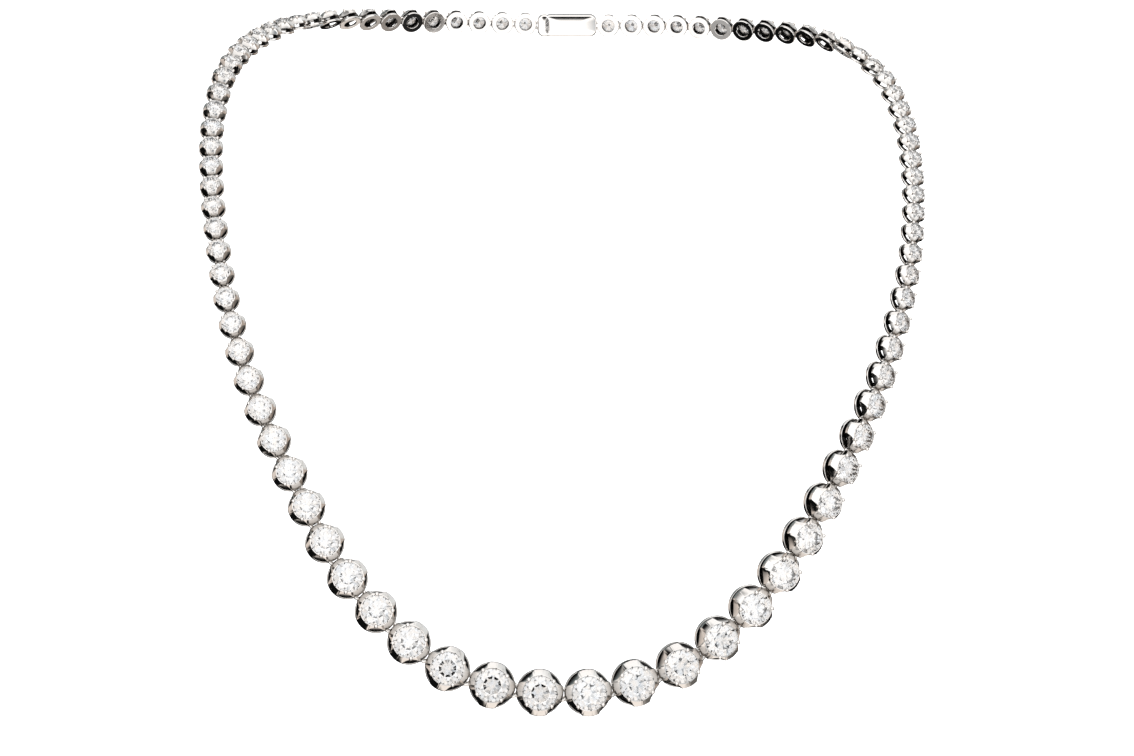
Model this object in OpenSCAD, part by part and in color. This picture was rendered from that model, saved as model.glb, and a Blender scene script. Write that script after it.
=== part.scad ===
// Graduated riviere necklace: round brilliants in claw settings, each linked to the next by a
// soldered ring. The origin is at the nape, on the neck side of the clasp. +Z is up, +Y is away
// from the wearer's front, and +X is to the right for someone who faces the wearer.

/* [Chain] */
// Diameter of the largest setting, at the middle of the front
front_dia = 7.85; // [7.2:0.05:8.4]
// Diameter of the settings behind the graduated front
back_dia = 4.15; // [3.8:0.05:5]
// Number of settings on each side over which the diameter falls
graded_count = 18; // [12:1:24]
// Least gap between the rims of neighbouring settings
setting_gap = 0.14; // [0.12:0.02:0.4]
// Distance of the largest setting from the lowest point of the route, to the right
centre_shift = 3.5; // [0:0.5:7]

/* [Stone] */
// Girdle diameter of the largest stone
stone_dia = 5.55; // [5.3:0.05:6.2]
// Diameter across the table's corners
table_dia = 3.2; // [2.8:0.1:3.8]
// Height from the girdle to the table
crown_h = 0.86; // [0.7:0.02:1.1]
// Thickness of the girdle
girdle_h = 0.16; // [0.12:0.02:0.3]
// Depth from the girdle to the point below
pavilion_h = 2.4; // [2.2:0.02:2.7]
// Gap between every stone and its setting
seat_gap = 0.12; // [0.1:0.01:0.16]

/* [Setting, sizes of the largest one] */
// How far the base ring lies inside the rim
base_inset = 0.06; // [0.04:0.02:0.3]
// Height of the base ring
base_h = 0.8; // [0.6:0.05:1.1]
// Height of the opening at each end, for a link ring
window_h = 1.4; // [1.3:0.05:1.7]
// Room between a link ring and either side of its opening
window_room = 0.15; // [0.12:0.01:0.2]
// Wall of the collar between the base ring and the stone
collar_wall = 0.4; // [0.3:0.05:0.6]
// Height of the recess between the base ring and the plates
groove_h = 1.3; // [0.3:0.1:1.5]
// Height of the plates' upright rim
rim_h = 0.7; // [0.5:0.05:1]
// Width of the narrow ledge between a stone and the sloping plates
plate_land = 0.3; // [0.24:0.02:0.4]
// How far inside a stone's edge the notch between two plates begins
notch_inset = 0.1; // [0.05:0.01:0.14]
// Angle between the two sides of a notch
notch_angle = 130; // [100:2:140]

/* [Claws, sizes of the largest setting] */
// Diameter of a claw just below its bead
claw_dia = 0.66; // [0.56:0.02:0.95]
// Diameter of a claw at its foot
claw_foot_dia = 0.5; // [0.46:0.02:0.6]
// Length of a claw from its foot to the middle of its bead
claw_len = 2; // [1.6:0.1:2.6]
// Distance from a stone's edge out to the middle of a claw
claw_offset = 0.14; // [0.12:0.01:0.24]
// Diameter of the bead at a claw's tip
bead_dia = 0.8; // [0.75:0.05:1.25]
// Height of the bead's middle above the top of the girdle
bead_rise = 0.3; // [0.26:0.02:0.5]
// Extra room between a claw and its stone, beyond the gap in the seat
claw_relief = 0.05; // [0.03:0.01:0.08]

/* [Links, sizes of the largest setting] */
// Diameter of the upright post that a ring holds
post_dia = 0.62; // [0.5:0.02:0.66]
// Distance of the middle of a post from the edge of the base ring
post_inset = 0.35; // [0.34:0.01:0.4]
// Wire diameter of the soldered ring
wire_dia = 0.74; // [0.6:0.02:0.8]
// Gap between every ring and the post that it holds
link_gap = 0.18; // [0.14:0.01:0.24]

/* [Clasp] */
// Length of the clasp's body
clasp_len = 11; // [9:0.5:14]
// Width of the clasp's body
clasp_w = 4; // [3.4:0.1:5]
// Thickness of the clasp's body
clasp_t = 2.6; // [2.2:0.1:3.2]
// Chamfer at the corners of the body
clasp_chamfer = 0.7; // [0.4:0.1:1]

/* [Hidden] */
$fn = 32;
// Share of the crown, from table to girdle, that a star facet covers
STAR_REACH = 0.5;
// Share of the pavilion, from girdle to point, that a lower girdle facet covers
LOWER_REACH = 0.77;
// Settings on each side of the largest one that are pieces of their own
SINGLE_COUNT = 9;
// How deep posts run into the base ring and into the plates that they join
POST_FOOT = 0.4;
POST_HEAD = 0.2;
// How far the collar lies inside the deepest line of the notches
COLLAR_INSET = 0.1;
METAL = [0.84, 0.84, 0.86];
CRYSTAL = [0.90, 0.95, 1.00];

// Route of the chain line, chosen by hand: x, y, z and the direction that the stones face there
ROUTE = [
    [0, -100.7, -102, 0.14, -0.97, 0.20],
    [-19.5, -100.4, -98, 0.14, -0.97, 0.20],
    [-35.5, -97.2, -84.4, 0.14, -0.96, 0.24],
    [-45.4, -92.4, -67.9, 0.08, -0.95, 0.28],
    [-52.7, -87, -52.9, 0, -0.93, 0.36],
    [-56.9, -81, -40.2, -0.08, -0.88, 0.45],
    [-59.2, -74.2, -29.7, -0.10, -0.84, 0.52],
    [-60.7, -66, -20.7, -0.02, -0.80, 0.56],
    [-61.2, -56, -11.8, 0.16, -0.74, 0.58],
    [-59.3, -44, -3.5, 0.26, -0.65, 0.65],
    [-53.5, -28, 1, 0.10, -0.25, 0.95],
    [-43, -13, 2, -0.30, 0.35, 0.85],
    [-24, -2, 1, -0.25, 0.95, 0.25],
    [0, clasp_t / 2, 0, 0, 1, 0],
    [24, -2.5, 0, 0.40, 0.90, 0.20],
    [45, -13, -1, 0.65, 0.40, 0.60],
    [55.5, -25, -6, 0.52, -0.40, 0.75],
    [59.5, -36, -13, 0.46, -0.55, 0.62],
    [60.5, -46, -20.5, 0.50, -0.58, 0.52],
    [60, -56.5, -29, 0.58, -0.62, 0.44],
    [58.1, -65.5, -38.8, 0.66, -0.64, 0.34],
    [53.8, -75, -51.4, 0.68, -0.68, 0.24],
    [47.8, -83, -64, 0.62, -0.76, 0.16],
    [38.8, -90.3, -78.9, 0.46, -0.87, 0.14],
    [29.1, -95, -90.3, 0.32, -0.93, 0.16],
    [17, -98.3, -98.6, 0.20, -0.96, 0.18]
];
// Row of the route at the nape, where the clasp sits
NAPE_ROW = 13;
// Straight steps between two rows of the route
ROUTE_STEPS = 24;

function unit(v) = v / norm(v);
function place_of(row) = [row[0], row[1], row[2]];
function facing_of(row) = [row[3], row[4], row[5]];
function route_row(k) = ROUTE[(k + len(ROUTE)) % len(ROUTE)];

// A smooth closed curve through the rows: the cubic between rows b and c, at t from 0 to 1
function between(a, b, c, d, t) =
    0.5 * (2 * b + (c - a) * t + (2 * a - 5 * b + 4 * c - d) * t * t
        + (3 * b - a - 3 * c + d) * t * t * t);
CURVE = [
    for (k = [0 : len(ROUTE) - 1])
        for (j = [0 : ROUTE_STEPS - 1])
            between(route_row(k - 1), route_row(k), route_row(k + 1), route_row(k + 2),
                j / ROUTE_STEPS),
    route_row(0)
];

// Length along the curve at each of its points, and the curve as tables over that length
RUN = [
    for (j = 0, run = 0; j < len(CURVE);
        run = run + (j + 1 < len(CURVE) ? norm(place_of(CURVE[j + 1]) - place_of(CURVE[j])) : 0),
        j = j + 1) run
];
loop_length = RUN[len(CURVE) - 1];
TABLES = [for (axis = [0 : 5]) [for (j = [0 : len(CURVE) - 1]) [RUN[j], CURVE[j][axis]]]];
function wrapped(u) = u - floor(u / loop_length) * loop_length;
function along(u) = [for (axis = [0 : 5]) lookup(wrapped(u), TABLES[axis])];

// Settings are numbered from 0 at the largest one, up along the left strand and, below zero,
// up along the right strand. Their diameter falls on a cosine.
function dia(i) =
    back_dia + (front_dia - back_dia) * (1 + cos(180 * min(abs(i), graded_count) / graded_count)) / 2;
function size_of(i) = dia(i) / front_dia;
back_size = back_dia / front_dia;

// Distance of each setting from the largest one, for as many as fit between it and the clasp
function reach_over(side_run) = [
    for (i = 0, reach = 0; reach + dia(i) / 2 + setting_gap + clasp_len / 2 <= side_run;
        reach = reach + (dia(i) + dia(i + 1)) / 2 + setting_gap, i = i + 1) reach
];
left_run = RUN[NAPE_ROW * ROUTE_STEPS] + centre_shift;
right_run = loop_length - left_run;
left_reach = reach_over(left_run);
right_reach = reach_over(right_run);
left_count = len(left_reach) - 1;
right_count = len(right_reach) - 1;
// What is left over widens every gap of a side by the same amount
function spare_of(side_run, reach, count) =
    (side_run - reach[count] - dia(count) / 2 - setting_gap - clasp_len / 2) / (count + 1);
left_spare = spare_of(left_run, left_reach, left_count);
right_spare = spare_of(right_run, right_reach, right_count);
function station(i) =
    (i >= 0 ? left_reach[i] + i * left_spare : i * right_spare - right_reach[-i]) - centre_shift;

// A frame is its place, X along the chain, Y across it and Z out of the stone's table
function frame_of(place, x, z) = [place, x, cross(z, x), z];
function setting_frame(i) =
    let (
        u = station(i),
        reach = dia(i) / 3,
        row = along(u),
        x = unit(place_of(along(u + reach)) - place_of(along(u - reach))),
        out = facing_of(row),
        z = unit(out - (out * x) * x)
    )
    frame_of(place_of(row), x, z);
clasp_frame = frame_of(place_of(ROUTE[NAPE_ROW]), [1, 0, 0], [0, 1, 0]);

// Heights and radii of the largest setting, from the middle of its end openings
rim_r = front_dia / 2;
base_r = rim_r - base_inset;
post_r = base_r - post_inset;
end_inset = rim_r - post_r;
stone_r = stone_dia / 2;
notch_r = stone_r - notch_inset;
collar_r = notch_r - COLLAR_INSET;
bore_r = collar_r - collar_wall;
window_z = window_h / 2;
plate_foot_z = groove_h - window_z;
rim_z = plate_foot_z + rim_h;
girdle_z = pavilion_h + girdle_h;
table_z = girdle_z + crown_h;
plate_r = stone_r + plate_land;
pavilion_angle = atan(pavilion_h / stone_r);
crown_angle = atan(crown_h / (stone_r - table_dia / 2));

// Points of the brilliant cut: table corners, middle of the crown, girdle and pavilion
function ring_points(count, turn, r, z) =
    [for (k = [0 : count - 1]) let (a = turn + k * 360 / count) [r * cos(a), r * sin(a), z]];
star_r = let (edge = table_dia / 2 * cos(22.5)) edge + STAR_REACH * (stone_r - edge);
star_z = table_z - (star_r * cos(22.5) - table_dia / 2) * tan(crown_angle);
lower_r = (1 - LOWER_REACH) * stone_r;
lower_z = lower_r * cos(22.5) * tan(pavilion_angle);
CUT_POINTS = concat(
    ring_points(8, 0, table_dia / 2, table_z),
    ring_points(8, 22.5, star_r, star_z),
    ring_points(16, 0, stone_r, girdle_z),
    ring_points(16, 0, stone_r, pavilion_h),
    ring_points(8, 22.5, lower_r, lower_z),
    [[0, 0, 0]]
);
function table_at(k) = (k + 8) % 8;
function star_at(k) = 8 + (k + 8) % 8;
function upper_at(j) = 16 + j % 16;
function under_at(j) = 32 + j % 16;
function lower_at(k) = 48 + (k + 8) % 8;
CUT_FACETS = [
    [for (k = [7 : -1 : 0]) table_at(k)],
    for (k = [0 : 7]) each [
        [table_at(k), table_at(k + 1), star_at(k)],
        [table_at(k), star_at(k), upper_at(2 * k), star_at(k - 1)],
        [star_at(k), upper_at(2 * k + 1), upper_at(2 * k)],
        [star_at(k), upper_at(2 * k + 2), upper_at(2 * k + 1)],
        [lower_at(k), under_at(2 * k), under_at(2 * k + 1)],
        [lower_at(k), under_at(2 * k + 1), under_at(2 * k + 2)],
        [under_at(2 * k), lower_at(k), 56, lower_at(k - 1)]
    ],
    for (j = [0 : 15]) [upper_at(j), upper_at(j + 1), under_at(j + 1), under_at(j)]
];

function setting_name(i) = i == 0 ? "setting_centre" : str("setting_", side_name(i), abs(i));
function stone_name(i) = i == 0 ? "stone_centre" : str("stone_", side_name(i), abs(i));
function side_name(i) = i > 0 ? "left_" : "right_";
SINGLES = [-SINGLE_COUNT : SINGLE_COUNT];
LEFT_REST = [SINGLE_COUNT + 1 : left_count];
RIGHT_REST = [-right_count : -SINGLE_COUNT - 1];

module at_frame(frame) {
    multmatrix([for (row = [0 : 2])
        [frame[1][row], frame[2][row], frame[3][row], frame[0][row]]]) children();
}

// Half section of the room that a stone takes, with an even gap all round
function pavilion_z(r, gap) = r * tan(pavilion_angle) - gap / cos(pavilion_angle);
function stone_section(gap) = [
    [0, pavilion_z(0, gap)],
    [stone_r + gap, pavilion_z(stone_r + gap, gap)],
    [stone_r + gap, girdle_z + gap / cos(crown_angle) - gap * tan(crown_angle)],
    [table_dia / 2, table_z + gap / cos(crown_angle)],
    [0, table_z + gap / cos(crown_angle)]
];

// The body: base ring, collar with the stone's seat, and a sloping flange. Notches at the claws
// part the flange into four plates, and an opening at each end leaves room for a link ring.
module body(gap, window_half) {
    difference() {
        rotate_extrude() polygon([
            [bore_r, -window_z - base_h],
            [base_r, -window_z - base_h],
            [base_r, -window_z],
            [collar_r, -window_z],
            [collar_r, plate_foot_z],
            [rim_r, plate_foot_z],
            [rim_r, rim_z],
            [plate_r, girdle_z],
            [stone_r + gap, girdle_z],
            [stone_r + gap, pavilion_z(stone_r + gap, gap)],
            [bore_r, pavilion_z(bore_r, gap)]
        ]);
        notches();
        for (side = [0, 180]) rotate(side) translate([bore_r / 2, -window_half, -window_z])
            cube([rim_r, 2 * window_half, window_h]);
    }
}

module notches() {
    foot_z = plate_foot_z - groove_h / 2;
    for (a = [45 : 90 : 315]) rotate(a) translate([notch_r, 0, foot_z])
        linear_extrude(girdle_z + 1 - foot_z) polygon([
            [0, 0],
            [rim_r, -rim_r * tan(notch_angle / 2)],
            [rim_r, rim_r * tan(notch_angle / 2)]
        ]);
}

// Four claws that rise from the notches, each with a bead that grips the crown and a flat-sided
// seat for the girdle
module claws(gap) {
    bead_z = girdle_z + bead_rise;
    for (a = [45 : 90 : 315]) rotate(a) difference() {
        translate([stone_r + claw_offset, 0, bead_z]) {
            translate([0, 0, -claw_len]) cylinder(d1 = claw_foot_dia, d2 = claw_dia, h = claw_len);
            sphere(d = bead_dia);
        }
        rotate([90, 0, 0]) linear_extrude(2 * bead_dia, center = true)
            polygon(stone_section(gap + claw_relief));
    }
}

module end_posts() {
    for (x = [-post_r, post_r]) translate([x, 0, -window_z - POST_FOOT])
        cylinder(d = post_dia, h = POST_FOOT + window_h + POST_HEAD);
}

// Half width of an end opening: the ring's outer half width there, and the room beside it
function window_half(size) =
    end_inset + (post_dia + 3 * wire_dia) / 4
        + ((link_gap + setting_gap + max(left_spare, right_spare)) / 2 + window_room) / size;

module setting(size) {
    scale(size) {
        body(seat_gap / size, window_half(size));
        claws(seat_gap / size);
        end_posts();
    }
}

// A ring in the plane of the next piece: it lies round that piece's post and is soldered,
// at its other side, at the point from_place
module link_ring(from_place, frame, post_x, size) {
    inner_x = post_x + (post_dia + wire_dia) / 2 * size + link_gap;
    outer_x = (from_place - frame[0]) * frame[1];
    at_frame(frame) translate([(inner_x + outer_x) / 2, 0, 0])
        rotate_extrude() translate([(inner_x - outer_x) / 2, 0]) circle(d = wire_dia * size);
}

clasp_post_x = clasp_len / 2 - end_inset * back_size;
function end_place(i) = let (frame = setting_frame(i)) frame[0] + post_r * size_of(i) * frame[1];

module linked_setting(i) {
    color(METAL) {
        at_frame(setting_frame(i)) setting(size_of(i));
        if (i == left_count)
            link_ring(end_place(i), clasp_frame, -clasp_post_x, back_size);
        else
            link_ring(end_place(i), setting_frame(i + 1), -post_r * size_of(i + 1), size_of(i + 1));
    }
}

module stone(i) {
    color(CRYSTAL) at_frame(setting_frame(i)) scale(size_of(i))
        polyhedron(points = CUT_POINTS, faces = CUT_FACETS);
}

// The clasp: a plain body with a fork and post at one end and its own soldered ring at the other
module clasp() {
    fork_depth = (end_inset + post_dia / 2 + wire_dia) * back_size + 2 * link_gap;
    color(METAL) {
        at_frame(clasp_frame) {
            difference() {
                clasp_body();
                translate([-clasp_len / 2 - 1, -clasp_w, -window_z * back_size])
                    cube([fork_depth + 1, 2 * clasp_w, window_h * back_size]);
            }
            translate([-clasp_post_x, 0, 0])
                cylinder(d = post_dia * back_size, h = clasp_t - POST_FOOT, center = true);
        }
        link_ring([clasp_post_x, 0, 0] + clasp_frame[0], setting_frame(-right_count),
            -post_r * size_of(-right_count), size_of(-right_count));
    }
}

module clasp_body() {
    x = clasp_len / 2;
    y = clasp_w / 2;
    c = clasp_chamfer;
    translate([0, 0, -clasp_t / 2]) linear_extrude(clasp_t) polygon([
        [-x, c - y], [c - x, -y], [x - c, -y], [x, c - y],
        [x, y - c], [x - c, y], [c - x, y], [-x, y - c]
    ]);
}

for (i = SINGLES) linked_setting(i);
for (i = SINGLES) stone(i);
for (i = LEFT_REST) linked_setting(i);  // left_settings
for (i = RIGHT_REST) linked_setting(i);  // right_settings
for (i = LEFT_REST) stone(i);  // left_stones
for (i = RIGHT_REST) stone(i);  // right_stones
clasp();
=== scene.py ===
"""Graduated riviere necklace, dressed: polished white gold settings with round brilliants, linked
by soldered rings into a whole worn loop with a plain clasp at the nape.

The chain's layout repeats that of the CAD part, in millimetres; one function turns the finished
points to metres. +Z is up, the stones of the front face -Y and +X is to the right of the picture.
"""

import logging
import math
from collections.abc import Iterable
from dataclasses import dataclass, field
from enum import Enum, IntEnum

import bpy
import numpy as np
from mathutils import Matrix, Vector


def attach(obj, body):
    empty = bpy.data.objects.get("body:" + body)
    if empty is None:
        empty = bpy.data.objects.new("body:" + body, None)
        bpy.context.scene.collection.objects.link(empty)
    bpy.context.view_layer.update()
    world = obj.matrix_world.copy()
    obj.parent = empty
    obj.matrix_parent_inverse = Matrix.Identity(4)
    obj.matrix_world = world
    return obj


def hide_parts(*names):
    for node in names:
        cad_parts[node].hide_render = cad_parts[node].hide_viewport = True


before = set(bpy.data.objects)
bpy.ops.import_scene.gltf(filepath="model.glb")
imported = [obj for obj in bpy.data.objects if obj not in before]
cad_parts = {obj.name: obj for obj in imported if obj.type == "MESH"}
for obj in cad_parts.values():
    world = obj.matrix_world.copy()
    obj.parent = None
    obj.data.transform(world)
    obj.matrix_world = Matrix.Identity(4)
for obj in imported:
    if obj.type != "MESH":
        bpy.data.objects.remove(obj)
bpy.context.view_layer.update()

log = logging.getLogger("riviere")
MM = 0.001
GOLD_SLOT = "white_gold"
DIAMOND_SLOT = "diamond"
BODY = "root"
MOST_OF_SIDE = 0.45


# ---------------------------------------------------------------- colours and nodes


def linear(hex_colour: str, strength: float = 1.0) -> tuple[float, float, float, float]:
    """Turns an sRGB hex colour to linear.

    Args:
        hex_colour: Six hex digits after a hash sign.
        strength: Factor on the three channels, for light that is brighter than white.

    Returns:
        Linear red, green and blue, and an alpha of one.
    """
    channels = [int(hex_colour[k : k + 2], 16) / 255 for k in (1, 3, 5)]
    plain = [c / 12.92 if c <= 0.04045 else ((c + 0.055) / 1.055) ** 2.4 for c in channels]
    return (plain[0] * strength, plain[1] * strength, plain[2] * strength, 1.0)


def add_node(
    tree: bpy.types.NodeTree, kind: str, inputs: dict | None = None, **settings: object
) -> bpy.types.Node:
    """Adds one node with its settings, values and links.

    Args:
        tree: Tree that gets the node.
        kind: Blender's type name of the node.
        inputs: Value, or output to link from, for each input by name or number.
        **settings: Properties of the node itself.

    Returns:
        The new node.
    """
    node = tree.nodes.new(kind)
    for name, value in settings.items():
        setattr(node, name, value)
    for name, value in (inputs or {}).items():
        if isinstance(value, bpy.types.NodeSocket):
            tree.links.new(value, node.inputs[name])
        else:
            node.inputs[name].default_value = value
    return node


class Tint(IntEnum):
    """Numbers of the Mix node's sockets when it mixes colours."""

    FACTOR = 0
    RESULT = 2
    A = 6
    B = 7


# ---------------------------------------------------------------- finishes


@dataclass(frozen=True)
class PolishedWhiteGold:
    """Rhodium-plated 18 carat white gold, cast, filed and mirror polished.

    It gives the eye a near-white mirror with a faint warm cast, fine polishing haze that breaks
    its reflections up a little, and painted shade in the roots of cuts and other hollows, which
    are also duller where the polishing wheel doesn't reach.
    """

    name: str = "white_gold_rhodium_polished"
    bright: str = "#F8F7F5"
    warm: str = "#F1EAE4"
    crevice_shade: str = "#1B1A1A"
    roughness_low: float = 0.035
    roughness_high: float = 0.09
    crevice_roughness: float = 0.32
    haze_mm: float = 0.30
    haze_detail: float = 3.0
    cast_mm: float = 2.6
    cast_detail: float = 1.0
    ripple_mm: float = 0.55
    ripple_detail: float = 2.0
    ripple_depth_mm: float = 0.0016
    ripple_strength: float = 0.5

    def build(self) -> bpy.types.Material:
        """Makes the material.

        Returns:
            A metal whose cast, haze and ripple are noises on object coordinates, and whose
            attribute of depth in hollows paints shade into the roots of cuts and dulls their
            polish.
        """
        material = bpy.data.materials.new(self.name)
        material.use_nodes = True
        tree = material.node_tree
        shader = tree.nodes["Principled BSDF"]
        place = add_node(tree, "ShaderNodeTexCoord").outputs["Object"]
        # Real polishing lines are some hundredths of a millimetre: these are coarse enough to show.
        sizes = (
            (self.haze_mm, self.haze_detail),
            (self.cast_mm, self.cast_detail),
            (self.ripple_mm, self.ripple_detail),
        )
        haze, cast, ripple = (
            add_node(
                tree,
                "ShaderNodeTexNoise",
                {"Vector": place, "Scale": 1 / (size * MM), "Detail": detail},
            ).outputs["Fac"]
            for size, detail in sizes
        )
        # Painted shade: the depth attribute darkens the metal in hollows and also roughens it.
        root = add_node(tree, "ShaderNodeAttribute", attribute_name="crevice_shade").outputs["Fac"]
        tints = {Tint.FACTOR: cast, Tint.A: linear(self.bright), Tint.B: linear(self.warm)}
        metal = add_node(tree, "ShaderNodeMix", tints, data_type="RGBA").outputs[Tint.RESULT]
        tints = {Tint.FACTOR: root, Tint.A: metal, Tint.B: linear(self.crevice_shade)}
        colour = add_node(tree, "ShaderNodeMix", tints, data_type="RGBA").outputs[Tint.RESULT]
        limits = {"Value": haze, "To Min": self.roughness_low, "To Max": self.roughness_high}
        polish = add_node(tree, "ShaderNodeMapRange", limits).outputs["Result"]
        dulled = {"Factor": root, "A": polish, "B": self.crevice_roughness}
        rough = add_node(tree, "ShaderNodeMix", dulled).outputs["Result"]
        depth = {"Height": ripple, "Strength": self.ripple_strength}
        depth["Distance"] = self.ripple_depth_mm * MM
        bump = add_node(tree, "ShaderNodeBump", depth).outputs["Normal"]
        tree.links.new(colour, shader.inputs["Base Color"])
        tree.links.new(rough, shader.inputs["Roughness"])
        tree.links.new(bump, shader.inputs["Normal"])
        shader.inputs["Metallic"].default_value = 1.0
        return material


@dataclass(frozen=True)
class BrilliantDiamond:
    """Near-colourless diamond, bruted and polished to flat facets.

    It gives the eye bright, sharp-edged patches of the whole room, white and grey, with the
    faint blue and peach of a dispersed spectrum, which this stands for with a slow tint.
    """

    name: str = "diamond_brilliant_cut"
    cool: str = "#F2F6FB"
    warm: str = "#FFF7EF"
    fire_mm: float = 0.8
    fire_low: float = 0.35
    fire_high: float = 0.65
    refraction: float = 2.417
    roughness: float = 0.0

    def build(self) -> bpy.types.Material:
        """Makes the material.

        Returns:
            Clear glass of diamond's index, with a slow tint in its body.
        """
        material = bpy.data.materials.new(self.name)
        material.use_nodes = True
        tree = material.node_tree
        shader = tree.nodes["Principled BSDF"]
        place = add_node(tree, "ShaderNodeTexCoord").outputs["Object"]
        scale = {"Vector": place, "Scale": 1 / (self.fire_mm * MM), "Detail": 1.0}
        fire = add_node(tree, "ShaderNodeTexNoise", scale).outputs["Fac"]
        spread = {"Value": fire, "From Min": self.fire_low, "From Max": self.fire_high}
        fire = add_node(tree, "ShaderNodeMapRange", spread).outputs["Result"]
        tints = {Tint.FACTOR: fire, Tint.A: linear(self.cool), Tint.B: linear(self.warm)}
        tint = add_node(tree, "ShaderNodeMix", tints, data_type="RGBA").outputs[Tint.RESULT]
        tree.links.new(tint, shader.inputs["Base Color"])
        shader.inputs["Transmission Weight"].default_value = 1.0
        shader.inputs["IOR"].default_value = self.refraction
        shader.inputs["Roughness"].default_value = self.roughness
        return material


# ---------------------------------------------------------------- surfaces


def unit(vectors: np.ndarray) -> np.ndarray:
    """Scales vectors along the last axis to a length of one."""
    return vectors / np.linalg.norm(vectors, axis=-1, keepdims=True)


def whole_turn(count: int) -> np.ndarray:
    """Angles evenly round a whole turn, in radians, the first at zero."""
    return np.arange(count) * 2 * np.pi / count


def turned(angle: np.ndarray, r: np.ndarray, z: np.ndarray) -> np.ndarray:
    """Carries a profile round the z axis: x and y are r times the angle's cosine and sine.

    Args:
        angle: Angles round the axis, in radians.
        r: Radius of each profile point, in one profile for all angles or one for each.
        z: Height of each profile point, likewise.

    Returns:
        Points as (angles, profile points, 3).
    """
    cos, sin = np.cos(angle)[:, None], np.sin(angle)[:, None]
    return np.stack([r * cos, r * sin, z + 0 * cos], axis=-1)


def upright_rod(x: float, r: np.ndarray, z: np.ndarray, turns: int) -> np.ndarray:
    """Rings of points of an upright round rod whose axis crosses the x axis.

    Args:
        x: Place of its axis along x.
        r: Radius at each height.
        z: Heights.
        turns: Number of points in a ring.

    Returns:
        Points as (heights, points of a ring, 3).
    """
    return turned(whole_turn(turns), r, z).swapaxes(0, 1) + np.array([x, 0, 0])


def grid_faces(rows: int, columns: int, close_rows: bool) -> np.ndarray:
    """Quads of a grid of points whose columns run round and close.

    The normal is the columns' direction crossed with the rows' direction.

    Args:
        rows: Number of rings of points.
        columns: Number of points in a ring.
        close_rows: Whether the last ring joins the first.

    Returns:
        Four point numbers for each quad.
    """
    i = np.arange(rows if close_rows else rows - 1)[:, None]
    j = np.arange(columns)[None, :]
    i_next, j_next = (i + 1) % rows, (j + 1) % columns
    corners = [i * columns + j, i * columns + j_next, i_next * columns + j_next]
    corners.append(i_next * columns + j)
    return np.stack(corners, axis=-1).reshape(-1, 4)


def rounded(corners: np.ndarray, radii: np.ndarray, steps: int) -> np.ndarray:
    """Rounds every corner of closed outlines.

    Each corner is replaced by the quadratic curve from a point on the side before it to one on
    the side after it, both at the radius from the corner but never past MOST_OF_SIDE of a side.

    Args:
        corners: Corner points, as (..., corners, 2).
        radii: Radius for each corner.
        steps: Straight steps in each round.

    Returns:
        The rounded outlines, as (..., corners * (steps + 1), 2).
    """
    before = np.roll(corners, 1, axis=-2) - corners
    after = np.roll(corners, -1, axis=-2) - corners
    reach_before = np.linalg.norm(before, axis=-1, keepdims=True) + 1e-9
    reach_after = np.linalg.norm(after, axis=-1, keepdims=True) + 1e-9
    most = MOST_OF_SIDE * np.minimum(reach_before, reach_after)
    cut = np.minimum(radii[:, None], most)
    start = (corners + before / reach_before * cut)[..., None, :]
    end = (corners + after / reach_after * cut)[..., None, :]
    t = np.linspace(0, 1, steps + 1)[:, None]
    curve = (1 - t) ** 2 * start + 2 * t * (1 - t) * corners[..., None, :] + t**2 * end
    return curve.reshape(*corners.shape[:-2], -1, 2)


@dataclass
class Shape:
    """Points in millimetres with faces and depths of painted shade in hollows, one array for each
    part added.
    """

    points: list[np.ndarray] = field(default_factory=list)
    faces: list[np.ndarray] = field(default_factory=list)
    crevice_shade: list[np.ndarray] = field(default_factory=list)
    count: int = 0

    def add(
        self, points: np.ndarray, faces: list[np.ndarray], crevice_shade: np.ndarray | None = None
    ) -> None:
        """Adds points and the faces between them.

        Args:
            points: Points, as (..., 3).
            faces: Arrays of point numbers, one row a face, each array with its own face size.
            crevice_shade: Depth from 0 to 1 for each point.
        """
        flat = points.reshape(-1, 3)
        self.points.append(flat)
        self.faces.extend(f + self.count for f in faces)
        depth = np.zeros(len(flat)) if crevice_shade is None else crevice_shade.reshape(-1)
        self.crevice_shade.append(depth)
        self.count += len(flat)

    def add_loop(self, rings: np.ndarray, crevice_shade: np.ndarray | None = None) -> None:
        """Adds a tube whose last ring joins its first, such as a torus."""
        self.add(rings, [grid_faces(rings.shape[0], rings.shape[1], True)], crevice_shade)

    def add_rod(self, rings: np.ndarray, crevice_shade: np.ndarray | None = None) -> None:
        """Adds a tube that is closed at both ends by fans to the rings' middles.

        Args:
            rings: Points as (rings, points of a ring, 3).
            crevice_shade: Depth for each of them.
        """
        rows, columns = rings.shape[:2]
        ends = np.stack([rings[0].mean(0), rings[-1].mean(0)])
        points = np.concatenate([rings.reshape(-1, 3), ends])
        j = np.arange(columns)
        turned = (j + 1) % columns
        last = (rows - 1) * columns
        foot = np.stack([np.full(columns, rows * columns), turned, j], axis=-1)
        head = np.stack([np.full(columns, rows * columns + 1), last + j, last + turned], axis=-1)
        if crevice_shade is not None:
            crevice_shade = np.concatenate([crevice_shade.reshape(-1), np.zeros(2)])
        self.add(points, [grid_faces(rows, columns, False), foot, head], crevice_shade)

    def add_shape(self, other: "Shape", seat: "Seat", size: float) -> None:
        """Adds another shape, scaled by a size and set on a seat."""
        moved = seat.place_points(np.concatenate(other.points) * size)
        self.add(moved, other.faces, np.concatenate(other.crevice_shade))


class Shading(Enum):
    """How a piece's faces catch light: as flat facets, or smooth up to an edge angle."""

    FACETS = 0.0
    SMOOTH = 34.0


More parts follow.
